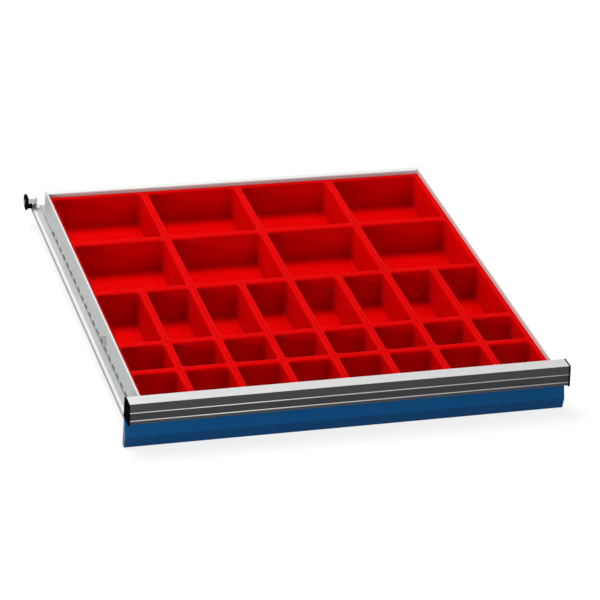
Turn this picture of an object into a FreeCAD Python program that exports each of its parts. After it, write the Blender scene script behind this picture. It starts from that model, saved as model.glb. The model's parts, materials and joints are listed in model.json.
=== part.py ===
import FreeCAD, Part
import math
import os

os.makedirs("parts", exist_ok=True)

# A workshop drawer: a folded sheet-steel body on two side rails, a handle rail over a
# folded front panel, and a set of loose bins that fills the inside on a square grid.
# x runs across with 0 in the middle, y runs from the front wall (0) to the rear,
# z is the height over the surface that the drawer stands on. All sizes are millimetres.

# Inside grid and levels
cell = 75.0                 # pitch of the smallest bin
across_cell_count = 8       # grid cells between the side walls
deep_cell_count = 8         # grid cells between front wall and rear wall
floor_level = 13.5          # upper face of the floor sheet
bin_height = 53.0
wall_over_rims = 7.5        # side walls over the bins' rims
rear_under_walls = 1.0      # step from the side walls down to the rear wall
handle_over_walls = 1.0     # top of the handle rail over the side walls

# Bins
bin_gap = 0.3               # free gap between two neighbouring rims
large_rim = 6.5             # grid line to mouth on the large bins
small_rim = 6.1             # grid line to mouth on the others
rim_thickness = 1.6
bin_wall = 1.4
bin_floor = 1.6
bin_draft = 2.75            # degrees that the bin walls lean inward going down
rim_bevel = 1.5             # bevel at the outer corners of the rim
inner_corner = 4.0          # corner radius inside the bins
outer_bevel = 3.0           # bevel along the outer corners under the rim

# Folded sheet of the drawer body
sheet = 1.0
side_clear = 0.2            # grid edge to the hem of a side wall
hem_width = 2.8             # over both leaves of the hem
hem_drop = 10.0             # height of the inner leaf
wall_foot = 3.0             # lower edge of the side walls
end_clear = 0.3             # grid edge to front wall or rear wall
corner_tab = 10.0           # length of the tabs that join the walls at the corners
tab_over_floor = 2.5        # lower end of those tabs over the floor
tab_under_rims = 6.5        # upper end of those tabs under the bins' rims
floor_lip = 8.0             # floor sheet in front of the front wall
rear_flange = 9.0           # flange on top of the rear wall
end_fold = 2.0              # fold radius of front and rear wall, in the middle of the sheet

# Slots of the side walls
slot_pitch = 24.9
slot_count = 20
slot_first = 67.5           # y of the foremost slot
slot_length = 14.0
slot_height = 3.4
slot_over_rail = 2.7        # middle of the slots over the rail

# Front panel
front_overhang = 19.5       # panel and handle rail beyond each side wall
panel_sheet = 1.2
panel_under_top = 5.0       # upper edge under the top of the handle rail
shoulder_under_top = 27.0   # where the panel starts to slope forward
crease_level = 18.0
crease_reach = 14.0         # crease in front of the inside of the front wall
panel_foot_reach = 11.5     # lower edge in front of the inside of the front wall
return_back = 1.5           # gap from the rear edge of the returns to y = 0
return_clear = 0.5          # free gap from the side returns to the end caps
cap_clear = 0.2             # free gap from panel to end cap

# Handle rail
handle_height = 28.5
handle_top_reach = 20.5
handle_reach = 26.0
handle_wall = 2.6
handle_roof = 1.8
handle_back = 0.1           # rear edge of the roof in front of y = 0
roof_clear = 0.3            # free gap from the side walls to the roof
leg_thickness = 2.0
leg_height = 23.0           # rear leg, with the roof
nose_lip = 5.0              # inward lip along the lower edge
nose_lip_height = 1.6
label_under_top = 12.5      # upper edge of the label window under the top
label_window = 11.5         # height of the label window
lip_cover = 1.0             # how far each lip covers the label strip
lip_thickness = 0.6
label_pocket = 1.2          # depth of the label pocket under the handle face
label_thickness = 0.5
label_play = 0.1
ledge = 2.5                 # ledges under the roof that hold the tongues of the end caps
ledge_thickness = 1.2
tongue_thickness = 2.4
tongue_length = 12.0
tongue_clear = 0.05

# End caps
cap_thickness = 2.5
cap_overlap = 0.4           # cap edge over the outline of the handle rail
cap_skirt = 2.0             # cap under the lower edge of the handle rail
cap_back = 1.0              # cap edge behind y = 0
cap_round = 1.6

# Runner rails
rail_sheet = 1.5
rail_level = 33.5           # upper face of the rail's top flange
rail_width = 14.2           # from the side wall to the rail's outer face
rail_lip = 6.5
rail_sole = 14.0            # width of the bottom flange that the drawer rests on
rail_front = 8.0
rail_beyond = 34.2          # rail behind the rear wall's flange
rail_fold = 1.7

# Rear rollers and their brackets
axle_in_rail = 3.5          # axle in front of the rail's rear end
left_over_rail = 7.0        # left axle over the rail's top
right_under_rail = 15.5     # right axle under the rail's top
tread_radius = 10.5
flange_radius = 12.5
tread_width = 7.1
flange_width = 2.0
rail_to_roller = 0.5        # free gap from rail to roller
journal_radius = 2.5
journal_clear = 0.05        # radial running clearance
end_play = 0.3              # free gap at each end of the roller hub
axle_head_radius = 4.2
axle_head = 0.9
rivet_head = 1.2            # head on the inner side of the bracket
shank_radius = 3.0
shank_clear = 0.1           # radial play of the shank in the bracket's hole
collar_radius = 4.5
collar_width = 2.0
bracket_sheet = 1.5
bracket_behind_axle = 12.0  # rear edge of the bracket behind the axle
bracket_base = 4.7          # flat width of the flange that is welded to the rail
base_to_web = 1.0           # free gap from that flange to the rail's web
base_before_end = 1.0       # rail's end behind that flange
guard_clear = 0.5           # free gap from tread to guard
guard_edge_clear = 0.8      # free gap from the guard's edge to the roller's flange
guard_skirt = 8.2           # height of the guard's front in the middle of the sheet

# Derived sizes
rim_level = floor_level + bin_height
wall_level = rim_level + wall_over_rims
rear_level = wall_level - rear_under_walls
front_height = wall_level + handle_over_walls
tab_low = floor_level + tab_over_floor
tab_high = rim_level - tab_under_rims
slot_level = rail_level + slot_over_rail
panel_top = front_height - panel_under_top
panel_shoulder = front_height - shoulder_under_top
handle_low = front_height - handle_height
cap_low = handle_low - cap_skirt
return_top = cap_low - return_clear
leg_low = front_height - leg_height
label_high = front_height - label_under_top
label_low = label_high - label_window
half_inside = cell * across_cell_count / 2
inside_depth = cell * deep_cell_count
hem_inner = half_inside + side_clear
wall_outer = hem_inner + hem_width
wall_inner = wall_outer - sheet
rail_outer = wall_outer + rail_width
roller_inner = rail_outer + rail_to_roller
roller_outer = roller_inner + tread_width + flange_width
axle_outer = roller_outer + end_play + axle_head
front_inner = -end_clear
front_outer = front_inner - sheet
panel_face = front_outer - panel_sheet
rear_inner = inside_depth + end_clear
body_rear = rear_inner + rear_flange
rail_rear = body_rear + rail_beyond
roller_y = rail_rear - axle_in_rail
roller_level_left = rail_level + left_over_rail
roller_level_right = rail_level - right_under_rail
bracket_rear = roller_y + bracket_behind_axle
guard_front = roller_y - tread_radius - guard_clear - bracket_sheet / 2
bracket_front = guard_front + bracket_sheet
base_rear = rail_rear - base_before_end
base_inner = wall_outer + rail_sheet + base_to_web
bracket_inner = base_inner + bracket_base
bracket_plate = bracket_inner + bracket_sheet
guard_outer = roller_inner + tread_width - guard_edge_clear
leg_front = panel_face - leg_thickness
ceiling = front_height - handle_roof
half_front = wall_outer + front_overhang
half_handle = half_front - cap_thickness
total_front = -handle_reach - cap_overlap
total_rear = roller_y + flange_radius
middle_y = (total_front + total_rear) / 2


def save(shape, node):
    placed = shape.copy()
    placed.translate(FreeCAD.Vector(0, -middle_y, 0))
    placed.exportStep("parts/" + node + ".step")


def box(x0, x1, y0, y1, z0, z1):
    low = FreeCAD.Vector(min(x0, x1), min(y0, y1), min(z0, z1))
    return Part.makeBox(abs(x1 - x0), abs(y1 - y0), abs(z1 - z0), low)


def join(first, *others):
    return first.fuse(list(others)).removeSplitter()


def mirror_x(shape):
    return shape.mirror(FreeCAD.Vector(0, 0, 0), FreeCAD.Vector(1, 0, 0))


def offset_path(points, distance):
    # Moves a folded line to its left by one distance, with its corners kept sharp.
    normals = []
    for (a, b), (c, d) in zip(points, points[1:]):
        length = math.hypot(c - a, d - b)
        normals.append((-(d - b) / length, (c - a) / length))
    moved = []
    for i, (a, b) in enumerate(points):
        before = normals[max(i - 1, 0)]
        after = normals[min(i, len(normals) - 1)]
        scale = distance / (1 + before[0] * after[0] + before[1] * after[1])
        moved.append((a + scale * (before[0] + after[0]), b + scale * (before[1] + after[1])))
    return moved


def side_edges(points, radius, shift):
    # One face of the sheet: the middle line with rounded folds, moved left by shift.
    edges = []
    last = None
    count = len(points)
    for i in range(count - 1):
        (a, b), (c, d) = points[i], points[i + 1]
        length = math.hypot(c - a, d - b)
        along = ((c - a) / length, (d - b) / length)
        left = (-along[1], along[0])
        if last is None:
            last = (a + left[0] * shift, b + left[1] * shift)
        if i == count - 2:
            edges.append((last, (c + left[0] * shift, d + left[1] * shift)))
            continue
        e, f = points[i + 2]
        span = math.hypot(e - c, f - d)
        ahead = ((e - c) / span, (f - d) / span)
        cross = along[0] * ahead[1] - along[1] * ahead[0]
        dot = along[0] * ahead[0] + along[1] * ahead[1]
        turn = math.copysign(1.0, cross)
        half = math.atan2(abs(cross), dot) / 2
        tangent = radius * math.tan(half)
        start = (c - along[0] * tangent, d - along[1] * tangent)
        centre = (start[0] + turn * left[0] * radius, start[1] + turn * left[1] * radius)
        reach = radius - turn * shift
        ahead_left = (-ahead[1], ahead[0])
        middle = (left[0] + ahead_left[0], left[1] + ahead_left[1])
        size = math.hypot(*middle)
        arc = [(centre[0] - turn * n[0] * reach, centre[1] - turn * n[1] * reach)
               for n in (left, (middle[0] / size, middle[1] / size), ahead_left)]
        if math.hypot(arc[0][0] - last[0], arc[0][1] - last[1]) > 1e-6:
            edges.append((last, arc[0]))
        edges.append(tuple(arc))
        last = arc[2]
    return edges


def folded_face(points, thickness, radius, lift):
    # Cross-section of folded sheet, from its middle line. lift turns (a, b) into a point.
    shapes = []
    outlines = [side_edges(points, radius, shift) for shift in (thickness / 2, -thickness / 2)]
    for outline in outlines:
        for piece in outline:
            ends = [lift(*p) for p in piece]
            if len(ends) == 2:
                shapes.append(Part.makeLine(*ends))
            else:
                shapes.append(Part.Arc(*ends).toShape())
    for k in (0, -1):
        first, second = (outline[k][k] for outline in outlines)
        shapes.append(Part.makeLine(lift(*first), lift(*second)))
    return Part.Face(Part.Wire(Part.__sortEdges__(shapes)))


def folded_along_y(points, thickness, radius, y0, y1):
    # Points are (x, z) pairs on the middle of the sheet.
    face = folded_face(points, thickness, radius, lambda x, z: FreeCAD.Vector(x, y0, z))
    return face.extrude(FreeCAD.Vector(0, y1 - y0, 0))


def folded_along_x(points, thickness, radius, half_width):
    # Points are (y, z) pairs on the middle of the sheet.
    face = folded_face(points, thickness, radius, lambda y, z: FreeCAD.Vector(-half_width, y, z))
    return face.extrude(FreeCAD.Vector(2 * half_width, 0, 0))


def prism_x(points, x0, x1):
    # Straight prism across the drawer from a closed (y, z) outline.
    ring = [FreeCAD.Vector(x0, y, z) for y, z in points]
    return Part.Face(Part.makePolygon(ring + ring[:1])).extrude(FreeCAD.Vector(x1 - x0, 0, 0))


def rod(x0, x1, y, z, radius):
    start = FreeCAD.Vector(min(x0, x1), y, z)
    return Part.makeCylinder(radius, abs(x1 - x0), start, FreeCAD.Vector(1, 0, 0))


def leaning_block(width, depth, low, high):
    # Block whose four sides lean inward going down. width and depth are those of its top.
    narrowing = 2 * math.tan(math.radians(bin_draft)) * (high - low)
    rings = []
    for x, y, z in (((width - narrowing) / 2, (depth - narrowing) / 2, low), (width / 2, depth / 2, high)):
        rings.append([FreeCAD.Vector(*p) for p in ((-x, -y, z), (x, -y, z), (x, y, z), (-x, y, z))])
    outlines = [rings[0][::-1], rings[1]]
    for k in range(4):
        n = (k + 1) % 4
        outlines.append([rings[0][k], rings[0][n], rings[1][n], rings[1][k]])
    faces = [Part.Face(Part.makePolygon(ring + ring[:1])) for ring in outlines]
    return Part.Solid(Part.Shell(faces))


def corner_edges(block):
    return [edge for edge in block.Edges if abs(edge.Vertexes[0].Z - edge.Vertexes[1].Z) > bin_floor]


def make_bin(width, depth, rim):
    # Open bin with leaning walls and a flat rim, centred on x = 0, y = 0.
    mouth = (width - 2 * rim, depth - 2 * rim)
    outside = leaning_block(mouth[0] + 2 * bin_wall, mouth[1] + 2 * bin_wall, floor_level, rim_level)
    outside = outside.makeChamfer(outer_bevel, corner_edges(outside))
    hollow = leaning_block(mouth[0], mouth[1], floor_level + bin_floor, rim_level)
    hollow = hollow.makeFillet(inner_corner, corner_edges(hollow))
    flange = Part.makeBox(width - bin_gap, depth - bin_gap, rim_thickness,
                          FreeCAD.Vector((bin_gap - width) / 2, (bin_gap - depth) / 2,
                                         rim_level - rim_thickness))
    upright = [edge for edge in flange.Edges if abs(edge.Vertexes[0].Z - edge.Vertexes[1].Z) > rim_thickness / 2]
    flange = flange.makeChamfer(rim_bevel, upright)
    return outside.fuse(flange).cut(hollow).removeSplitter()


def bin_row(pattern, first_number, name, y_low, size_x, size_y):
    # A row of equal bins across the whole inside. Numbers run from left to right.
    for k in range(int(2 * half_inside / size_x + 0.5)):
        x = -half_inside + size_x * (k + 0.5)
        piece = pattern.copy()
        piece.translate(FreeCAD.Vector(x, y_low + size_y / 2, 0))
        save(piece, "%s_%02d" % (name, first_number + k))


def make_all_bins():
    large, small = 2 * cell, cell
    square = make_bin(large, large, large_rim)
    narrow = make_bin(small, large, small_rim)
    little = make_bin(small, small, small_rim)
    rows_from_rear = (
        (square, 1, "large_bin", large, large),
        (square, 1 + across_cell_count // 2, "large_bin", large, large),
        (narrow, 1, "long_bin", small, large),
        (little, 1, "small_bin", small, small),
        (little, 1 + across_cell_count, "small_bin", small, small))
    y_high = inside_depth
    for pattern, first_number, name, size_x, size_y in rows_from_rear:
        y_high -= size_y
        bin_row(pattern, first_number, name, y_high, size_x, size_y)


def make_floor():
    # Floor sheet with both sides turned down against the side walls.
    side = wall_inner - sheet / 2
    level = floor_level - sheet / 2
    path = [(-side, wall_foot), (-side, level), (side, level), (side, wall_foot)]
    floor = folded_along_y(path, sheet, sheet, front_outer - floor_lip, body_rear)
    notch = box(wall_inner - 2 * sheet, wall_outer, front_outer - 2 * floor_lip, front_outer, 0, floor_level)
    return floor.cut(Part.makeCompound([notch, mirror_x(notch)]))


def slot_cutters():
    cutters = []
    for k in range(slot_count):
        y = slot_first + k * slot_pitch
        cutters.append(box(wall_inner - sheet / 2, wall_outer + sheet, y - slot_length / 2, y + slot_length / 2,
                           slot_level - slot_height / 2, slot_level + slot_height / 2))
    return cutters


def make_side_wall():
    # Right-hand side wall with a closed hem along its top edge.
    outer = wall_outer - sheet / 2
    inner = hem_inner + sheet / 2
    top = wall_level - sheet / 2
    path = [(outer, wall_foot), (outer, top), (inner, top), (inner, wall_level - hem_drop)]
    wall = folded_along_y(path, sheet, (outer - inner) / 2, front_outer, body_rear)
    cutters = slot_cutters()
    cutters.append(box(hem_inner - sheet, wall_outer + sheet, front_outer - sheet, roof_clear,
                       ceiling - roof_clear, front_height))
    return wall.cut(Part.makeCompound(cutters))


def corner_tabs(y_plate, y_tab_end):
    # Widened lower part of an end wall, turned to the rear into tabs that lie on the side walls.
    edge = wall_inner
    outline = [(half_inside - sheet, y_plate), (edge, y_plate), (edge, y_tab_end), (edge - sheet, y_tab_end),
               (edge - sheet, y_plate + sheet), (half_inside - sheet, y_plate + sheet)]
    tabs = []
    for side in (-1, 1):
        ring = [FreeCAD.Vector(side * x, y, tab_low) for x, y in outline]
        face = Part.Face(Part.makePolygon(ring + ring[:1]))
        tabs.append(face.extrude(FreeCAD.Vector(0, 0, tab_high - tab_low)))
    return tabs


def make_rear_wall():
    # Rear wall: foot flange, upright and a top flange to the rear.
    y = rear_inner + sheet / 2
    foot = floor_level + sheet / 2
    top = rear_level - sheet / 2
    path = [(body_rear, foot), (y, foot), (y, top), (body_rear, top)]
    wall = folded_along_x(path, sheet, end_fold, half_inside)
    return join(wall, *corner_tabs(rear_inner, body_rear))


def make_front_wall():
    # Front wall of the body: foot flange to the front and an upright behind the panel.
    y = front_inner - sheet / 2
    foot = floor_level + sheet / 2
    path = [(front_outer - floor_lip, foot), (y, foot), (y, ceiling)]
    wall = folded_along_x(path, sheet, end_fold, half_inside)
    return join(wall, *corner_tabs(front_outer, corner_tab))


def behind_face(middle):
    # Everything behind the panel's outer face, so that its side returns follow the rounded folds.
    shapes = []
    outline = side_edges(middle, panel_sheet, panel_sheet / 2)
    for piece in outline:
        ends = [FreeCAD.Vector(-half_front, y, z) for y, z in piece]
        shapes.append(Part.makeLine(*ends) if len(ends) == 2 else Part.Arc(*ends).toShape())
    first, last = outline[0][0], outline[-1][-1]
    corners = [FreeCAD.Vector(-half_front, y, z)
               for y, z in (last, (crease_reach, last[1]), (crease_reach, first[1]), first)]
    shapes += [Part.makeLine(a, b) for a, b in zip(corners, corners[1:])]
    face = Part.Face(Part.Wire(Part.__sortEdges__(shapes)))
    return face.extrude(FreeCAD.Vector(2 * half_front, 0, 0))


def make_front_panel():
    # Folded front panel: flat behind the handle, sloping out to a crease, and back to its foot.
    face = [(-return_back, 0), (-panel_foot_reach, 0), (-crease_reach, crease_level),
            (panel_face, panel_shoulder), (panel_face, panel_top)]
    middle = offset_path(face, -panel_sheet / 2)
    panel = folded_along_x(middle, panel_sheet, panel_sheet, half_front)
    behind = behind_face(middle)
    returns = []
    cutters = []
    for side in (-1, 1):
        end = side * half_front
        returns.append(behind.common(box(end - side * panel_sheet, end, -2 * crease_reach, -return_back,
                                         0, return_top)))
        cutters.append(box(side * (half_handle - cap_clear), 2 * end, -2 * crease_reach, crease_reach,
                           return_top, front_height))
    return join(panel, *returns).cut(Part.makeCompound(cutters))


def on_face(s, depth):
    # Point on the leaning handle face: s down from its top edge, depth under the face.
    length = math.hypot(handle_reach - handle_top_reach, front_height - handle_low)
    down = ((handle_top_reach - handle_reach) / length, (handle_low - front_height) / length)
    return (-handle_top_reach + down[0] * s - down[1] * depth, front_height + down[1] * s + down[0] * depth)


def face_distance(level):
    # Distance down the handle face that belongs to a height.
    length = math.hypot(handle_reach - handle_top_reach, front_height - handle_low)
    return (front_height - level) * length / (front_height - handle_low)


def face_at(level, depth):
    # y at one height of a plane that lies depth under the handle face.
    y, z = on_face(0, depth)
    slope = (handle_reach - handle_top_reach) / (front_height - handle_low)
    return y - (z - level) * slope


def make_handle():
    # Handle rail: roof, leaning face with a label pocket, rear leg, and ledges for the end caps.
    lip_top = handle_low + nose_lip_height
    ledge_top = ceiling - tongue_thickness
    ledge_low = ledge_top - ledge_thickness
    outline = [(-handle_back, front_height), (-handle_top_reach, front_height), (-handle_reach, handle_low),
               (-handle_reach + nose_lip, handle_low), (-handle_reach + nose_lip, lip_top),
               (face_at(lip_top, handle_wall), lip_top), (face_at(ledge_low, handle_wall), ledge_low),
               (face_at(ledge_low, handle_wall) + ledge, ledge_low),
               (face_at(ledge_low, handle_wall) + ledge, ledge_top),
               (face_at(ledge_top, handle_wall), ledge_top), (face_at(ceiling, handle_wall), ceiling),
               (leg_front, ceiling), (leg_front, ledge_top), (leg_front - ledge, ledge_top),
               (leg_front - ledge, ledge_low), (leg_front, ledge_low),
               (leg_front, leg_low), (panel_face, leg_low), (panel_face, ceiling), (-handle_back, ceiling)]
    rail = prism_x(outline, -half_handle, half_handle)
    high, low = face_distance(label_high), face_distance(label_low)
    pocket = [on_face(high, -handle_wall), on_face(low, -handle_wall), on_face(low, lip_thickness),
              on_face(low + lip_cover, lip_thickness), on_face(low + lip_cover, label_pocket),
              on_face(high - lip_cover, label_pocket), on_face(high - lip_cover, lip_thickness),
              on_face(high, lip_thickness)]
    return rail.cut(prism_x(pocket, -half_handle, half_handle))


def make_label_strip():
    high = face_distance(label_high) - lip_cover + label_play
    low = face_distance(label_low) + lip_cover - label_play
    outline = [on_face(high, label_pocket - label_thickness), on_face(low, label_pocket - label_thickness),
               on_face(low, label_pocket), on_face(high, label_pocket)]
    return prism_x(outline, -half_handle + label_play, half_handle - label_play)


def make_end_cap():
    # Right-hand end cap with a tongue that goes between roof and ledges of the handle rail.
    outline = [(cap_back, front_height), (-handle_top_reach - cap_overlap, front_height),
               (-handle_reach - cap_overlap, handle_low), (-handle_reach, cap_low), (cap_back, cap_low)]
    plate = prism_x(outline, half_handle, half_front)
    rounded = [edge for edge in plate.Edges
               if abs(edge.Vertexes[0].X - edge.Vertexes[1].X) > cap_thickness / 2
               and edge.Vertexes[0].Z > handle_low + cap_round]
    plate = plate.makeFillet(cap_round, rounded)
    tongue_low = ceiling - tongue_thickness + tongue_clear
    outline = [(leg_front - tongue_clear, tongue_low), (leg_front - tongue_clear, ceiling - tongue_clear),
               (face_at(ceiling, handle_wall) + tongue_clear, ceiling - tongue_clear),
               (face_at(tongue_low, handle_wall) + tongue_clear, tongue_low)]
    return join(plate, prism_x(outline, half_handle - tongue_length, half_front - cap_thickness / 2))


def make_rail():
    # Right-hand runner rail: sole flange under the body, web on the side wall, top flange and lip.
    web = wall_outer + rail_sheet / 2
    top = rail_level - rail_sheet / 2
    edge = rail_outer - rail_sheet / 2
    path = [(wall_outer + rail_sheet - rail_sole, rail_sheet / 2), (web, rail_sheet / 2), (web, top),
            (edge, top), (edge, rail_level - rail_lip)]
    return folded_along_y(path, rail_sheet, rail_fold, rail_front, rail_rear)


def make_bracket(axle_level, upward):
    # Right-hand roller bracket. upward puts it on the rail's top flange, otherwise under it.
    # Base, upright and guard are one fold, and the guard's front is bent round the roller.
    sign = 1 if upward else -1
    start = rail_level if upward else rail_level - rail_sheet
    base = start + sign * bracket_sheet / 2
    guard = axle_level + sign * (tread_radius + guard_clear + bracket_sheet / 2)
    upright = bracket_plate - bracket_sheet / 2
    path = [(base_inner, base), (upright, base), (upright, guard), (guard_outer, guard)]
    bracket = folded_along_y(path, bracket_sheet, bracket_sheet, bracket_front, bracket_rear)
    half_skirt = (guard_outer - upright) / 2 - bracket_sheet / 2
    bend = [(bracket_front + bracket_sheet, guard), (guard_front, guard), (guard_front, guard - sign * guard_skirt)]
    skirt = folded_along_x(bend, bracket_sheet, bracket_sheet, half_skirt)
    skirt.translate(FreeCAD.Vector(guard_outer - half_skirt, 0, 0))
    low, high = sorted((base - sign * bracket_sheet, axle_level - sign * shank_radius))
    behind_rail = box(base_inner - bracket_sheet, bracket_inner - bracket_sheet, base_rear,
                      bracket_rear + bracket_sheet, low, high)
    hole = rod(base_inner, guard_outer, roller_y, axle_level, shank_radius + shank_clear)
    return join(bracket, skirt).cut(Part.makeCompound([behind_rail, hole]))


def make_axle(level):
    # Right-hand axle along x: rivet head, shank in the bracket, collar, shank, journal and head.
    collar_end = bracket_plate + collar_width
    shoulder = roller_inner - end_play
    head = roller_outer + end_play
    steps = ((bracket_inner - rivet_head, bracket_inner, axle_head_radius),
             (bracket_inner, bracket_plate, shank_radius),
             (bracket_plate, collar_end, collar_radius),
             (collar_end, shoulder, shank_radius),
             (shoulder, head, journal_radius),
             (head, axle_outer, axle_head_radius))
    return join(*[rod(x0, x1, roller_y, level, radius) for x0, x1, radius in steps])


def make_roller(level):
    # Right-hand roller: a tread with an outer flange, turned about its bore.
    edge = roller_inner + tread_width
    bore = journal_radius + journal_clear
    outline = [(roller_inner, bore), (roller_inner, tread_radius), (edge, tread_radius),
               (edge, flange_radius), (roller_outer, flange_radius), (roller_outer, bore)]
    ring = [FreeCAD.Vector(x, roller_y, level + r) for x, r in outline]
    face = Part.Face(Part.makePolygon(ring + ring[:1]))
    return face.revolve(FreeCAD.Vector(0, roller_y, level), FreeCAD.Vector(1, 0, 0), 360)


make_all_bins()

right_wall = make_side_wall()
right_rail = make_rail()
right_cap = make_end_cap()
save(make_floor(), "floor_sheet")
save(right_wall, "side_wall_right")
save(mirror_x(right_wall), "side_wall_left")
save(make_rear_wall(), "rear_wall")
save(make_front_wall(), "front_wall")
save(make_front_panel(), "front_panel")
save(make_handle(), "handle_rail")
save(make_label_strip(), "label_strip")
save(right_cap, "end_cap_right")
save(mirror_x(right_cap), "end_cap_left")
save(right_rail, "runner_rail_right")
save(mirror_x(right_rail), "runner_rail_left")
save(make_bracket(roller_level_right, False), "roller_bracket_right")
save(mirror_x(make_bracket(roller_level_left, True)), "roller_bracket_left")
axles = [make_axle(roller_level_right), mirror_x(make_axle(roller_level_left))]
save(Part.makeCompound(axles), "roller_axles")
save(make_roller(roller_level_right), "roller_right")
save(mirror_x(make_roller(roller_level_left)), "roller_left")
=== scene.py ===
import json
import math
import bmesh
import bpy
from mathutils import Matrix, Vector


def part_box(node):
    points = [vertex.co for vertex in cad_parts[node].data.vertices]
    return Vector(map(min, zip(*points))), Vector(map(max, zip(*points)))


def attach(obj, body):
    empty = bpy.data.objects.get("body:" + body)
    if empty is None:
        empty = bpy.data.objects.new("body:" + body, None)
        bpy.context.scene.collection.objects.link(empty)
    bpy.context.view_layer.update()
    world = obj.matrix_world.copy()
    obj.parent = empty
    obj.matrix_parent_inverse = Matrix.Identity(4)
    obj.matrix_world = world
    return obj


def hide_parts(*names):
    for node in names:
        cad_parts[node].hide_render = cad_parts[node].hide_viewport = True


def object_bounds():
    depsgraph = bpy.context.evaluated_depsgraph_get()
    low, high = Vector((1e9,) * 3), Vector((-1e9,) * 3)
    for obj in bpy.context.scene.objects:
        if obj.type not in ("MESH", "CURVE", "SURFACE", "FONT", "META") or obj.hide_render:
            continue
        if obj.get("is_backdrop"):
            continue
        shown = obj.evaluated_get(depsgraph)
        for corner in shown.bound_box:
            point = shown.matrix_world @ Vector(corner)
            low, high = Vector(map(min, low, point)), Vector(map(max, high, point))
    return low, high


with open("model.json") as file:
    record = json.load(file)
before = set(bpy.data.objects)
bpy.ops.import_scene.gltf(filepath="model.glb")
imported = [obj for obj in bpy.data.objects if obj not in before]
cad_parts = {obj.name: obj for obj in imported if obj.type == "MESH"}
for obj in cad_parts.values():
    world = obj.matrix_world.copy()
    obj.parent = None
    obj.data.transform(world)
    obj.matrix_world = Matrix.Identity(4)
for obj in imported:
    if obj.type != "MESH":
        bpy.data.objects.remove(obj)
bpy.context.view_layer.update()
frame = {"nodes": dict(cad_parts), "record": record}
nodes = frame["nodes"]
bodies = frame["record"]["behaviour"]["bodies"]
body_of_node = {node: body for body, members in bodies.items() for node in members}
slot_of_node = {entry["node"]: entry["material_slot"] for entry in frame["record"]["subparts"]}
MM = 0.001

# Places read from the frame. The left side mirrors the right one.
WALL_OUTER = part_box("side_wall_right")[1].x
REAR_TOP, REAR_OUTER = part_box("rear_wall")[1].z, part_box("rear_wall")[1].y
RAIL_TOP, RAIL_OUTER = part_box("runner_rail_right")[1].z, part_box("runner_rail_right")[1].x
RAIL_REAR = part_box("runner_rail_right")[1].y
HANDLE_LOW, HANDLE_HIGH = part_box("handle_rail")
FRONT_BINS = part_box("small_bin_16")[0].y        # rims of the front row

# Sheet body
BODY_SHEET, RAIL_SHEET = 1.0 * MM, 1.5 * MM
FRONT_GAP = 0.45 * MM               # from the front bins' rims to the front wall
FRONT_INNER = FRONT_BINS - FRONT_GAP
CREASE_LEVEL = 18.0 * MM            # where the front panel turns back
SLOT_LEVEL = RAIL_TOP + 2.7 * MM    # middle of the slots
SLOT_REACH = 2.6 * MM               # past the slots' edges, which are 1.7 mm from their middle

# Bins
BIN_DRAFT = 2.75                    # degrees
LEAN = math.tan(math.radians(BIN_DRAFT))
LARGE_RIM, SMALL_RIM = 6.35 * MM, 5.95 * MM     # from the rim's outer edge to the mouth
RIM_THICKNESS, BIN_WALL, BIN_FLOOR = 1.6 * MM, 1.4 * MM, 1.6 * MM
MOUTH_ROUND, RIM_ROUND, FLOOR_FILLET, FOOT_ROUND = 3.2 * MM, 0.15 * MM, 3.2 * MM, 2.0 * MM
INNER_CORNER, OUTER_CORNER, RIM_CORNER, LEAST_CORNER = 4.2 * MM, 4.6 * MM, 0.5 * MM, 1.2 * MM
CORNER_STEPS, FILLET_STEPS, ROUND_STEPS = 6, 5, 4

# Handle rail
FACE_LEAN = 5.5 * MM                # the face's lower edge before its upper edge
FACE_HEIGHT = HANDLE_HIGH.z - HANDLE_LOW.z
FACE_TOP = Vector((0.0, HANDLE_LOW.y + FACE_LEAN, HANDLE_HIGH.z))
FACE_NORMAL = Vector((0.0, -FACE_HEIGHT, FACE_LEAN)).normalized()
FACE_DOWN = Vector((0.0, -FACE_LEAN, -FACE_HEIGHT)).normalized()
LABEL_HIGH = HANDLE_HIGH.z - 12.5 * MM          # upper edge of the label window
LABEL_LOW = LABEL_HIGH - 11.5 * MM
HIGH_BEAD, LOW_BEAD = LABEL_HIGH - 0.2 * MM, LABEL_LOW + 0.1 * MM
BEAD_HALF, BEAD_RISE, BEAD_ROOT, BEAD_STEPS = 0.75 * MM, 0.40 * MM, 0.3 * MM, 8
BEAD_END = HANDLE_HIGH.x - 0.1 * MM

# Catch on the left side wall, read off the photograph through the camera below
CATCH_CORNERS = ((-87.75 * MM, 38.8 * MM), (-121.35 * MM, 58.3 * MM),
                 (-124.05 * MM, 44.2 * MM), (-115.05 * MM, 38.9 * MM))      # (y, z)
CATCH_ROUND, CATCH_SHEET = 1.6 * MM, 0.7 * MM

# Shelves behind the rear wall
SHELF_INNER = WALL_OUTER - 8.4 * MM
SHELF_OUTER = WALL_OUTER - 0.02 * MM
SHELF_FRONT, SHELF_REAR = REAR_OUTER + 0.2 * MM, RAIL_REAR - 2.15 * MM
SHELF_LOW, SHELF_HIGH = RAIL_TOP - RAIL_SHEET, RAIL_TOP - 0.1 * MM
SHELF_ROUND = 1.2 * MM
PLATE_EDGE = 0.3 * MM               # rounding along the edges of catch and shelves
ROUND_MIDDLE = 0.3                  # share of a rounding's radius that it lies inside at its middle
BEND_STEPS = 5

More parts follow.
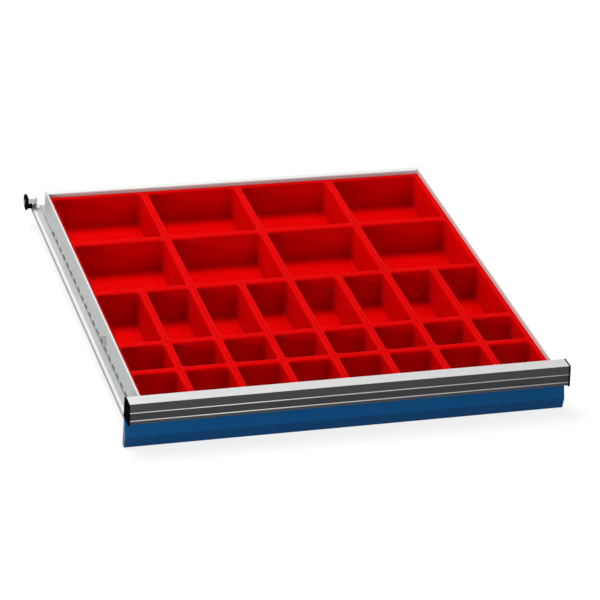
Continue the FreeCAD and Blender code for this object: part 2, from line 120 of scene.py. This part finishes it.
# Screws in the front wall
SCREW_FIRST, SCREW_PITCH, SCREW_COUNT, SCREW_LEVEL = -240.0 * MM, 120.0 * MM, 5, 44.0 * MM
SCREW_PROFILE = ((3.6, -0.2, 1.0), (3.6, 0.35, 1.0), (3.3, 0.85, 1.0), (2.7, 1.25, 1.0), (1.9, 1.5, 1.0),
                 (1.9, 1.0, 0.45), (0.6, 0.7, 1.0))     # radius and rise in millimetres, waist
SCREW_STEPS = 32
CROSS_ARM = 0.72                    # |cos 2a| above which the angle a is in an arm of the cross recess

# Spot welds between rail and side wall
WELD_FIRST, WELD_PITCH, WELD_COUNT, WELD_LEVEL = -270.0 * MM, 60.0 * MM, 10, 17.0 * MM
WELD_PROFILE = ((3.0, -0.2), (3.0, 0.02), (2.5, 0.16), (2.0, 0.10), (1.2, 0.04))    # in millimetres
WELD_STEPS = 20

# Camera at the photograph's viewpoint, in the frame of the part
CAMERA_PLACE = Vector((-1.1874, -3.53505, 2.1232))
AZIMUTH, ELEVATION, ROLL = (math.radians(angle) for angle in (-18.91, 29.37, 5.04))
LENS, SENSOR_WIDTH = 172.24, 36.0   # millimetres
NEAREST, FURTHEST = 0.05, 60.0      # metres

# Floor and background
FLOOR_HALF = 14.0                   # metres, half of a side
FLOOR_DROP = 0.2 * MM               # under the lowest face of the drawer
FLOOR_COLOR, FLOOR_GLOW = (0.22, 0.22, 0.22), 0.82
WHITE, SHOWN_WHITE, WORLD_LIGHT = (1.0, 1.0, 1.0), 1.0, 0.24


# Camera
def photo_camera():
    data = bpy.data.cameras.new("camera")
    data.sensor_width, data.lens = SENSOR_WIDTH, LENS
    data.clip_start, data.clip_end = NEAREST, FURTHEST
    camera = bpy.data.objects.new("camera", data)
    bpy.context.scene.collection.objects.link(camera)
    back = Vector((math.sin(AZIMUTH) * math.cos(ELEVATION), -math.cos(AZIMUTH) * math.cos(ELEVATION),
                   math.sin(ELEVATION)))
    right = Vector((math.cos(AZIMUTH), math.sin(AZIMUTH), 0.0))
    up = back.cross(right)
    turned_right = right * math.cos(ROLL) + up * math.sin(ROLL)
    turned_up = up * math.cos(ROLL) - right * math.sin(ROLL)
    turn = Matrix((turned_right, turned_up, back)).transposed().to_4x4()
    camera.matrix_world = Matrix.Translation(CAMERA_PLACE) @ turn
    return camera


bpy.context.scene.camera = photo_camera()
bpy.context.scene.view_settings.view_transform = "Standard"


# Node helpers
MIX_FACTOR, MIX_FIRST, MIX_SECOND, MIX_RESULT = 0, 6, 7, 2      # the Mix node's sockets for colours
BEVEL_SAMPLES, CREVICE_SAMPLES = 6, 12
# Stretches of a noise. A share below 1 makes its patches long in that direction.
EVEN, ALONG_X, ALONG_Y, ALONG_AXLE = (1.0, 1.0, 1.0), (0.02, 1.0, 1.0), (1.0, 0.06, 1.0), (0.1, 1.0, 1.0)


class Nodes:
    """The nodes of a material or a world under construction. A colour is three numbers."""

    def __init__(self, owner, output):
        owner.use_nodes = True
        self.tree = owner.node_tree
        self.tree.nodes.clear()
        self.output = self.add(output)

    def put(self, socket, value):
        if isinstance(value, bpy.types.NodeSocket):
            self.tree.links.new(value, socket)
        elif socket.type == "RGBA":
            socket.default_value = (*value, 1.0)
        else:
            socket.default_value = value

    def add(self, kind, inputs=(), **settings):
        """A new node with its settings, and with its inputs by name or number."""
        node = self.tree.nodes.new("ShaderNode" + kind)
        for name, value in settings.items():
            setattr(node, name, value)
        for key, value in dict(inputs).items():
            self.put(node.inputs[key], value)
        return node

    def end(self, node):
        self.tree.links.new(node.outputs[0], self.output.inputs[0])

    def math(self, operation, *values, clamp=False):
        return self.add("Math", enumerate(values), operation=operation, use_clamp=clamp).outputs[0]

    def background_rays(self):
        """1 for the rays that show the surroundings: the camera's, and those of gloss and glass."""
        path = self.add("LightPath").outputs
        reflected = self.math("MAXIMUM", path["Is Glossy Ray"], path["Is Transmission Ray"])
        return self.math("MAXIMUM", path["Is Camera Ray"], reflected)


class MaterialNodes(Nodes):
    """The nodes of a new material. Coordinates are the frame's, in metres; a noise's scale is per metre."""

    def __init__(self, name):
        self.material = bpy.data.materials.new(name)
        super().__init__(self.material, "OutputMaterial")
        self.coords = self.add("TexCoord").outputs["Object"]

    def noise(self, scale, detail, stretch=EVEN):
        mapping = self.add("Mapping", {"Vector": self.coords, "Scale": stretch})
        noise = self.add("TexNoise", {"Vector": mapping.outputs[0], "Scale": scale, "Detail": detail})
        return noise.outputs["Fac"]

    def spread(self, value, low, high, to_low=0.0, to_high=1.0):
        """The stretch from low to high brought to that from to_low to to_high, and held beyond its ends."""
        ranges = {"Value": value, "From Min": low, "From Max": high, "To Min": to_low, "To Max": to_high}
        return self.add("MapRange", ranges).outputs[0]

    def fall(self, value, low, high):
        """1 up to low, 0 from high on."""
        return self.spread(value, low, high, 1.0, 0.0)

    def patches(self, noise, to_low=0.0, to_high=1.0, low=0.3, high=0.7):
        """The middle range of a noise, spread out."""
        return self.spread(noise, low, high, to_low, to_high)

    def mix(self, factor, first, second):
        inputs = {MIX_FACTOR: factor, MIX_FIRST: first, MIX_SECOND: second}
        return self.add("Mix", inputs, data_type="RGBA").outputs[MIX_RESULT]

    def split(self, value):
        return self.add("SeparateXYZ", {0: value}).outputs

    def normal(self):
        return self.add("NewGeometry").outputs["Normal"]

    def distance(self, value, centre):
        """How far a value is from a centre, on either side."""
        return self.math("ABSOLUTE", self.math("SUBTRACT", value, centre))

    def bump(self, height, strength, distance, under=None):
        inputs = {"Strength": strength, "Distance": distance, "Height": height}
        if under is not None:
            inputs["Normal"] = under
        return self.add("Bump", inputs).outputs[0]

    def edge_mask(self, radius, sharpness):
        """1 on rounded and sharp edges, 0 on flat surface."""
        softened = self.add("Bevel", {"Radius": radius}, samples=BEVEL_SAMPLES).outputs[0]
        alike = self.add("VectorMath", {0: softened, 1: self.normal()}, operation="DOT_PRODUCT")
        return self.fall(alike.outputs["Value"], 1.0 - sharpness, 1.0)

    def crevice(self, distance, low, high):
        """1 in narrow slots and inner corners, 0 on open surface."""
        open_share = self.add("AmbientOcclusion", {"Distance": distance}, samples=CREVICE_SAMPLES)
        return self.fall(open_share.outputs["AO"], low, high)

    def finish(self, color, roughness, specular, metallic, normal):
        inputs = {"Base Color": color, "Roughness": roughness, "Specular IOR Level": specular,
                  "Metallic": metallic, "Normal": normal}
        self.end(self.add("BsdfPrincipled", inputs))
        return self.material


def dimmed(color, share):
    return tuple(share * value for value in color)


# Materials
# base and varied are the two colours that the tone drifts between, and rough holds the lowest and highest
# roughness.
CORNER_SHADE_TONE, NARROW_SHADE_SHARE = 0.3, 0.55   # share of base that the painted corner shade goes to, how far narrow corners take it
SPECKLE_SHARE, CREVICE_SHADE_SHARE = 0.8, 0.06  # shares of base; the second is the tone of the painted crevice shade
CREVICE_SHADE_DEPTH, HEM_HIGHLIGHT = 0.35, 0.35       # how far the painted crevice shade and the painted highlight on the hems go


def moulded(name, base, varied, specular, rough, grain=0.12, corner_shade=0.0):
    """Injection-moulded plastic: fine eroded grain, slow sink of the surface, slightly uneven gloss.

    The last argument is how far wide inner corners go to a painted shade, a deeper tone. At 0 narrow ones
    don't, either.
    """
    n = MaterialNodes(name)
    tone = n.patches(n.noise(scale=18.0, detail=4.0), low=0.35, high=0.65)
    sink = n.bump(n.noise(scale=26.0, detail=2.0), strength=0.10, distance=0.6 * MM)
    normal = n.bump(n.noise(scale=2600.0, detail=2.0), strength=grain, distance=0.06 * MM, under=sink)
    roughness = n.patches(n.noise(scale=60.0, detail=5.0), *rough)
    color = n.mix(tone, base, varied)
    # painted shade: inner corners darken by how little of the surroundings they see
    if corner_shade:
        wide_corner_shade = n.math("MULTIPLY", n.crevice(distance=34.0 * MM, low=0.30, high=0.88), corner_shade)
        narrow_corner_shade = n.math("MULTIPLY", n.crevice(distance=10.0 * MM, low=0.50, high=0.92), NARROW_SHADE_SHARE)
        color = n.mix(n.math("MAXIMUM", wide_corner_shade, narrow_corner_shade), color, dimmed(base, CORNER_SHADE_TONE))
    return n.finish(color, roughness, specular, metallic=0.0, normal=normal)


def hem_top_highlight(n):
    """Painted highlight on the tops of the hems and of the rear wall's flange, where they face up."""
    high = n.spread(n.split(n.coords)[2], REAR_TOP - 0.6 * MM, REAR_TOP - 0.2 * MM, to_high=HEM_HIGHLIGHT)
    return n.math("MULTIPLY", high, n.spread(n.split(n.normal())[2], low=0.5, high=0.9))


def slot_cut_shade(n):
    """The cut faces of the slots, between the two faces of a side wall's sheet, which take painted shade."""
    x, _, z = n.split(n.coords)
    from_middle = n.distance(n.math("ABSOLUTE", x), WALL_OUTER - BODY_SHEET / 2)
    in_sheet = n.fall(from_middle, BODY_SHEET / 2 - 0.01 * MM, BODY_SHEET / 2 + 0.02 * MM)
    along = n.fall(n.math("ABSOLUTE", n.split(n.normal())[0]), low=0.3, high=0.5)
    at_slots = n.fall(n.distance(z, SLOT_LEVEL), SLOT_REACH, SLOT_REACH + 0.1 * MM)
    return n.math("MULTIPLY", in_sheet, n.math("MULTIPLY", along, at_slots))


def rail_fold_highlight(n):
    """Painted highlight along the rail's outer fold, where it faces up."""
    x = n.math("ABSOLUTE", n.split(n.coords)[0])
    uneven = n.math("MULTIPLY", n.noise(scale=90.0, detail=3.0), 1.2 * MM)
    outside = n.spread(n.math("ADD", x, uneven), RAIL_OUTER - 4.6 * MM, RAIL_OUTER - 3.4 * MM)
    return n.math("MULTIPLY", outside, n.spread(n.split(n.normal())[2], low=0.3, high=0.8))


def below_crease_shade(n):
    """Painted shade on the part of the front panel below its crease, which faces a little down."""
    return n.fall(n.split(n.coords)[2], CREASE_LEVEL - 0.6 * MM, CREASE_LEVEL + 0.6 * MM)


def coated(name, base, varied, worn, wear, specular, rough, painted_highlight=None, cut_shade=None, painted_shade=None,
           shade_tone=None):
    """Powder-coated sheet: orange peel, fine speckle, painted shade in slots and crevices, coat rubbed
    thinner along its edges.

    Three functions may give further masks: a painted highlight goes to the worn colour, a painted shade to
    its own shade tone, and painted shade on cut faces to the dark of the painted crevice shade.
    """
    n = MaterialNodes(name)
    tone = n.patches(n.noise(scale=9.0, detail=5.0))
    speckle = n.patches(n.noise(scale=1500.0, detail=1.0), to_high=0.25, low=0.62, high=0.75)
    uneven = n.patches(n.noise(scale=160.0, detail=4.0), to_high=wear, low=0.35, high=0.6)
    edge = n.math("MULTIPLY", n.edge_mask(radius=0.9 * MM, sharpness=0.25), uneven, clamp=True)
    color = n.mix(speckle, n.mix(tone, base, varied), dimmed(base, SPECKLE_SHARE))
    color = n.mix(edge, color, worn)
    # painted highlight where a mask gives one
    if painted_highlight:
        color = n.mix(painted_highlight(n), color, worn)
    # painted shade where a mask gives one
    if painted_shade:
        color = n.mix(painted_shade(n), color, shade_tone)
    # painted shade: slots and crevices darken by how little of the surroundings they see
    crevice_shade = n.math("MULTIPLY", n.crevice(distance=3.0 * MM, low=0.10, high=0.45), CREVICE_SHADE_DEPTH)
    if cut_shade:
        crevice_shade = n.math("MAXIMUM", crevice_shade, cut_shade(n))
    color = n.mix(crevice_shade, color, dimmed(base, CREVICE_SHADE_SHARE))
    peel = n.bump(n.noise(scale=420.0, detail=2.0), strength=0.12, distance=0.15 * MM)
    normal = n.bump(n.noise(scale=2400.0, detail=1.0), strength=0.08, distance=0.05 * MM, under=peel)
    roughness = n.patches(n.noise(scale=45.0, detail=4.0), *rough)
    return n.finish(color, roughness, specular, metallic=0.0, normal=normal)


def bare_metal(name, base, varied, rough, stretch, metallic):
    """Rolled, plated or extruded metal with fine lines."""
    n = MaterialNodes(name)
    tone = n.patches(n.noise(scale=55.0, detail=6.0, stretch=stretch))
    roughness = n.patches(n.noise(scale=30.0, detail=3.0), *rough)
    lines = n.noise(scale=240.0, detail=3.0, stretch=stretch)
    normal = n.bump(lines, strength=0.18, distance=0.08 * MM)
    return n.finish(n.mix(tone, base, varied), roughness, specular=0.5, metallic=metallic, normal=normal)


def anodised(name, metal, film, rough, specular, metallic):
    """Anodised handle rail: natural aluminium, with a dark film on its leaning face.

    metal and film each hold two colours, which the tone drifts between.
    """
    n = MaterialNodes(name)
    _, y, z = n.split(n.coords)
    lean = n.math("MULTIPLY", n.math("SUBTRACT", HANDLE_HIGH.z, z), FACE_LEAN / FACE_HEIGHT)
    behind_face = n.math("ADD", n.math("SUBTRACT", y, FACE_TOP.y), lean)
    on_face = n.fall(behind_face, 0.3 * MM, 0.4 * MM)
    facing = n.fall(n.split(n.normal())[1], low=-0.80, high=-0.60)
    dark = n.math("MULTIPLY", on_face, facing, clamp=True)
    tone = n.patches(n.noise(scale=900.0, detail=4.0, stretch=ALONG_X))
    color = n.mix(dark, n.mix(tone, *metal), n.mix(tone, *film))
    lines = n.noise(scale=1400.0, detail=3.0, stretch=ALONG_X)
    normal = n.bump(lines, strength=0.10, distance=0.06 * MM)
    roughness = n.patches(n.noise(scale=35.0, detail=4.0), *rough)
    bare = n.math("MULTIPLY", n.math("SUBTRACT", 1.0, dark), metallic)
    return n.finish(color, roughness, specular, bare, normal)


# painted shade in the bins' inner corners
RED = moulded("bin_plastic", base=(0.705, 0.0008, 0.0010), varied=(0.745, 0.0012, 0.0014),
              specular=0.012, rough=(0.38, 0.50), corner_shade=0.44)
# painted highlight on the hem tops, painted shade in slots and crevices
SHEET = coated("body_sheet", base=(0.69, 0.715, 0.705), varied=(0.73, 0.75, 0.74), worn=(0.90, 0.90, 0.89),
               wear=0.25, specular=0.45, rough=(0.38, 0.50), painted_highlight=hem_top_highlight, cut_shade=slot_cut_shade)
# painted shade below the crease of the front panel
BLUE = coated("front_paint", base=(0.0016, 0.132, 0.395), varied=(0.0024, 0.143, 0.420),
              worn=(0.05, 0.15, 0.32), wear=0.30, specular=0.15, rough=(0.34, 0.46),
              painted_shade=below_crease_shade, shade_tone=(0.00048, 0.0924, 0.2923))
# painted highlight along the rail's outer fold
RAIL = coated("rail_steel", base=(0.44, 0.455, 0.44), varied=(0.48, 0.49, 0.48), worn=(0.74, 0.745, 0.735),
              wear=0.35, specular=0.20, rough=(0.40, 0.52), painted_highlight=rail_fold_highlight)
CATCH = coated("catch_sheet", base=(0.43, 0.45, 0.44), varied=(0.47, 0.49, 0.48), worn=(0.75, 0.75, 0.74),
               wear=0.30, specular=0.30, rough=(0.38, 0.50))
BRACKET = bare_metal("bracket_steel", base=(0.82, 0.82, 0.81), varied=(0.88, 0.88, 0.87), rough=(0.34, 0.48),
                     stretch=ALONG_Y, metallic=0.25)
AXLE = bare_metal("axle_steel", base=(0.050, 0.050, 0.052), varied=(0.085, 0.085, 0.088), rough=(0.30, 0.45),
                  stretch=ALONG_AXLE, metallic=0.8)
# near-white tone: painted highlight along the label window's edges
BEAD_HIGHLIGHT = bare_metal("bead_highlight", base=(0.91, 0.91, 0.91), varied=(0.96, 0.96, 0.96), rough=(0.30, 0.40),
                    stretch=ALONG_X, metallic=0.15)
SCREW = bare_metal("screw_zinc", base=(0.60, 0.60, 0.59), varied=(0.72, 0.72, 0.71), rough=(0.28, 0.42),
                   stretch=EVEN, metallic=0.7)
BLACK = moulded("cap_plastic", base=(0.0045, 0.0045, 0.0047), varied=(0.0070, 0.0070, 0.0073),
                specular=0.0, rough=(0.42, 0.56))
ROLLER = moulded("roller_plastic", base=(0.0040, 0.0040, 0.0042), varied=(0.0075, 0.0075, 0.0078),
                 specular=0.001, rough=(0.40, 0.55))
LABEL = moulded("label_plastic", base=(0.082, 0.082, 0.084), varied=(0.096, 0.096, 0.097),
                specular=0.12, rough=(0.42, 0.52), grain=0.06)
HANDLE = anodised("handle_aluminium", metal=((0.59, 0.595, 0.59), (0.64, 0.64, 0.635)),
                  film=((0.086, 0.085, 0.086), (0.101, 0.100, 0.100)), rough=(0.36, 0.46), specular=0.25,
                  metallic=0.35)
FOR_SLOT = {"bin_plastic": RED, "body_sheet": SHEET, "front_paint": BLUE, "rail_steel": RAIL,
            "bracket_steel": BRACKET, "axle_steel": AXLE, "cap_plastic": BLACK, "roller_plastic": ROLLER,
            "label_plastic": LABEL, "handle_aluminium": HANDLE}

for name, node in nodes.items():
    node.data.materials.clear()
    node.data.materials.append(FOR_SLOT[slot_of_node[name]])


# Mesh helpers
def piece(name, mesh, material, body="drawer", smooth=True):
    """A new object that rides on a body and takes the material given to it."""
    obj = bpy.data.objects.new(name, mesh)
    bpy.context.scene.collection.objects.link(obj)
    mesh.materials.append(material)
    for face in mesh.polygons:
        face.use_smooth = smooth
    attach(obj, body)
    return obj


def skin(name, *forms):
    """Mesh of closed forms. Each goes through rings of equally many points, and its end rings are filled."""
    bm = bmesh.new()
    for rings in forms:
        made = [[bm.verts.new(point) for point in ring] for ring in rings]
        for ring, after in zip(made, made[1:]):
            for k in range(len(ring)):
                n = (k + 1) % len(ring)
                bm.faces.new((ring[k], ring[n], after[n], after[k]))
        bm.faces.new(made[0][::-1])
        bm.faces.new(made[-1])
    bmesh.ops.recalc_face_normals(bm, faces=bm.faces)
    mesh = bpy.data.meshes.new(name)
    bm.to_mesh(mesh)
    bm.free()
    return mesh


def arc(centre_u, centre_z, radius, start, end, steps):
    """Points (u, z) of an arc, angles in degrees."""
    for k in range(steps + 1):
        angle = math.radians(start + (end - start) * k / steps)
        yield centre_u + radius * math.cos(angle), centre_z + radius * math.sin(angle)


def rounded_rectangle(centre, half_x, half_y, radius, z):
    """Points counter-clockwise seen from above."""
    points = []
    for k, (sx, sy) in enumerate(((1, 1), (-1, 1), (-1, -1), (1, -1))):
        for step in range(CORNER_STEPS + 1):
            angle = math.pi / 2 * (k + step / CORNER_STEPS)
            points.append((centre.x + sx * (half_x - radius) + radius * math.cos(angle),
                           centre.y + sy * (half_y - radius) + radius * math.sin(angle), z))
    return points


def rounded(corners, radius):
    """Closed outline whose corners are rounded by curves that begin and end at radius from the corner."""
    points = []
    for k, (u, v) in enumerate(corners):
        before, after = corners[k - 1], corners[(k + 1) % len(corners)]
        back = Vector((before[0] - u, before[1] - v)).normalized()
        ahead = Vector((after[0] - u, after[1] - v)).normalized()
        for step in range(BEND_STEPS + 1):
            s = step / BEND_STEPS
            offset = radius * ((1 - s) ** 2 * back + s ** 2 * ahead)
            points.append((u + offset.x, v + offset.y))
    return points


def plate(name, outline, low, high):
    """Plate with rounded edges: a closed outline (u, v) between two levels of the third axis."""
    middle_u = sum(u for u, v in outline) / len(outline)
    middle_v = sum(v for u, v in outline) / len(outline)

    def ring(inset, level):
        points = []
        for u, v in outline:
            far = math.hypot(u - middle_u, v - middle_v)
            points.append((u - (u - middle_u) * inset / far, v - (v - middle_v) * inset / far, level))
        return points

    edge = ((PLATE_EDGE, 0.0), (ROUND_MIDDLE * PLATE_EDGE, ROUND_MIDDLE * PLATE_EDGE), (0.0, PLATE_EDGE))
    rings = [ring(inset, low + rise) for inset, rise in edge]
    rings += [ring(inset, high - rise) for inset, rise in reversed(edge)]
    return skin(name, rings)


def turned_ring(place, steps, radius, rise, waist=1.0):
    """Ring round the axis of place, radius and rise in millimetres.

    Between the four arms of a cross the radius is drawn in to the share waist.
    """
    points = []
    for k in range(steps):
        angle = 2 * math.pi * k / steps
        in_arm = abs(math.cos(2 * angle)) > CROSS_ARM
        far = radius * (1.0 if in_arm else waist)
        points.append(place @ (Vector((far * math.cos(angle), far * math.sin(angle), rise)) * MM))
    return points


def seat(x, y, z, angle, axis):
    """A place whose third axis is turned from straight up by an angle."""
    return Matrix.Translation((x, y, z)) @ Matrix.Rotation(angle, 4, axis)


# Bins
def bin_rings(low, high, rim):
    """Rings from the edge of the bin's floor, over the rim, to the edge of its underside.

    rim is the flat width from the outer edge to the mouth.
    """
    centre, half = (low + high) / 2, (high - low) / 2
    top, foot = high.z, low.z
    floor, under_rim = foot + BIN_FLOOR, top - RIM_THICKNESS
    middle = (floor + top) / 2

    def inside(z):
        return rim + (top - z) * LEAN

    def outside(z):
        return inside(z) - BIN_WALL

    profile = []                        # (inset from the outer edge, z, corner radius)
    fillet_u = inside(floor + FLOOR_FILLET) + FLOOR_FILLET
    for u, z in arc(fillet_u, floor + FLOOR_FILLET, FLOOR_FILLET, 270, 180 - BIN_DRAFT, FILLET_STEPS):
        profile.append((u, z, max(INNER_CORNER - (u - inside(z)), LEAST_CORNER)))
    profile.append((inside(middle), middle, INNER_CORNER))
    for u, z in arc(rim - MOUTH_ROUND, top - MOUTH_ROUND, MOUTH_ROUND, -BIN_DRAFT, 90, ROUND_STEPS):
        profile.append((u, z, INNER_CORNER + rim - u))
    for u, z in arc(RIM_ROUND, top - RIM_ROUND, RIM_ROUND, 90, 180, ROUND_STEPS):
        profile.append((u, z, RIM_CORNER))
    profile.append((0.0, under_rim, RIM_CORNER))
    profile.append((outside(under_rim), under_rim, OUTER_CORNER))
    profile.append((outside(middle), middle, OUTER_CORNER))
    foot_u = outside(foot + FOOT_ROUND) + FOOT_ROUND
    for u, z in arc(foot_u, foot + FOOT_ROUND, FOOT_ROUND, 180, 270, ROUND_STEPS):
        profile.append((u, z, max(OUTER_CORNER - (u - outside(z)), LEAST_CORNER)))
    return [rounded_rectangle(centre, half.x - u, half.y - u, radius, z) for u, z, radius in profile]


def keep_faces_flat(obj):
    """Flat faces stay flat in shading next to rounded edges."""
    modifier = obj.modifiers.new("weighted", "WEIGHTED_NORMAL")
    modifier.keep_sharp = True
    modifier.weight = 60


for name in sorted(name for name in nodes if "_bin_" in name):
    low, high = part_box(name)
    rim = LARGE_RIM if name.startswith("large") else SMALL_RIM
    shell = piece(name + "_shell", skin(name + "_shell", bin_rings(low, high, rim)), RED,
                  body_of_node[name])
    keep_faces_flat(shell)
    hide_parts(name)


# Handle beads
def face_point(level, along, out):
    """(y, z) of a point on the leaning face at a height, moved down along it and out of it."""
    start = FACE_TOP + FACE_DOWN * ((FACE_TOP.z - level) / -FACE_DOWN.z)
    point = start + FACE_DOWN * along + FACE_NORMAL * out
    return point.y, point.z


def bead(name, level):
    """Bead along the label window, of bare aluminium whose near-white tone is a painted highlight."""
    angles = [math.pi * k / BEAD_STEPS for k in range(BEAD_STEPS + 1)]
    outline = [face_point(level, BEAD_HALF * math.cos(a), BEAD_RISE * math.sin(a)) for a in angles]
    outline += [face_point(level, along, -BEAD_ROOT) for along in (-BEAD_HALF, BEAD_HALF)]
    ends = [[(x, y, z) for y, z in outline] for x in (-BEAD_END, BEAD_END)]
    piece(name, skin(name, ends), BEAD_HIGHLIGHT)


bead("label_bead_high", HIGH_BEAD)
bead("label_bead_low", LOW_BEAD)


# Sheet details
def wall_catch():
    """Small plate on the left side wall over the slots."""
    mesh = plate("wall_catch", rounded(CATCH_CORNERS, CATCH_ROUND), 0.0, CATCH_SHEET)
    # u becomes y, v becomes z, and the plate's thickness points out of the wall
    mesh.transform(Matrix(((0, 0, -1, -WALL_OUTER), (1, 0, 0, 0), (0, 1, 0, 0), (0, 0, 0, 1))))
    mesh.flip_normals()
    piece("wall_catch", mesh, CATCH, smooth=False)


def front_screws():
    """Low domed heads with a cross recess, on the inside of the front wall."""
    heads = []
    for k in range(SCREW_COUNT):
        place = seat(SCREW_FIRST + SCREW_PITCH * k, FRONT_INNER, SCREW_LEVEL, -math.pi / 2, "X")
        heads.append([turned_ring(place, SCREW_STEPS, *row) for row in SCREW_PROFILE])
    piece("front_screws", skin("front_screws", *heads), SCREW, smooth=False)


def rail_shelf(side, label):
    """Shelf that widens the rail behind the rear wall. side is -1 on the left and 1 on the right."""
    x_low, x_high = sorted((side * SHELF_INNER, side * SHELF_OUTER))
    corners = [(x_low, SHELF_FRONT), (x_high, SHELF_FRONT), (x_high, SHELF_REAR), (x_low, SHELF_REAR)]
    name = "rail_shelf_" + label
    mesh = plate(name, rounded(corners, SHELF_ROUND), SHELF_LOW, SHELF_HIGH)
    piece(name, mesh, RAIL, smooth=False)


def spot_welds(side, label):
    """Marks of the spot welds on the rail's web."""
    marks = []
    for k in range(WELD_COUNT):
        place = seat(side * (WALL_OUTER + RAIL_SHEET), WELD_FIRST + WELD_PITCH * k, WELD_LEVEL,
                     side * math.pi / 2, "Y")
        marks.append([turned_ring(place, WELD_STEPS, *row) for row in WELD_PROFILE])
    name = "spot_welds_" + label
    piece(name, skin(name, *marks), RAIL)


wall_catch()
front_screws()
for side, label in ((-1, "left"), (1, "right")):
    rail_shelf(side, label)
    spot_welds(side, label)


# Floor, light and world
def stage_floor():
    """Pale floor that keeps the drawer's shadow and shows bright to the camera and in reflections."""
    mesh = bpy.data.meshes.new("floor")
    corners = [(sx * FLOOR_HALF, sy * FLOOR_HALF, 0.0) for sx, sy in ((-1, -1), (1, -1), (1, 1), (-1, 1))]
    mesh.from_pydata(corners, [], [(0, 1, 2, 3)])
    floor = bpy.data.objects.new("floor", mesh)
    floor.location.z = -FLOOR_DROP
    bpy.context.scene.collection.objects.link(floor)
    floor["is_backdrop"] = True
    n = MaterialNodes("floor")
    diffuse = n.add("BsdfDiffuse", {"Color": FLOOR_COLOR})
    glow = n.add("Emission", {"Strength": n.math("MULTIPLY", n.background_rays(), FLOOR_GLOW)})
    n.end(n.add("AddShader", {0: diffuse.outputs[0], 1: glow.outputs[0]}))
    mesh.materials.append(n.material)


def pale_world():
    """White where the surroundings show, and a weaker even light on the object."""
    world = bpy.data.worlds.new("world")
    bpy.context.scene.world = world
    n = Nodes(world, "OutputWorld")
    shown = n.add("Background", {"Color": WHITE, "Strength": SHOWN_WHITE})
    lighting = n.add("Background", {"Color": WHITE, "Strength": WORLD_LIGHT})
    n.end(n.add("MixShader", {0: n.background_rays(), 1: lighting.outputs[0], 2: shown.outputs[0]}))


def softbox(name, place, target, size, power):
    """Rectangular area light that points at target, with its power in watts."""
    data = bpy.data.lights.new(name, "AREA")
    data.shape = "RECTANGLE"
    data.size, data.size_y = size
    data.energy = power
    lamp = bpy.data.objects.new(name, data)
    lamp.location = place
    lamp.rotation_euler = (Vector(target) - Vector(place)).to_track_quat("-Z", "Y").to_euler()
    bpy.context.scene.collection.objects.link(lamp)


stage_floor()
pale_world()
softbox("key", place=(-0.95, 0.95, 3.32), target=(0.0, 0.0, 0.0), size=(2.4, 1.6), power=117.0)
softbox("front_fill", place=(-2.15, -3.0, 0.62), target=(0.0, -0.3, 0.03), size=(1.6, 0.4), power=28.0)
softbox("side_fill", place=(2.9, 0.9, 0.50), target=(0.3, 0.0, 0.03), size=(1.6, 0.4), power=14.0)

# Sizes and end
low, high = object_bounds()
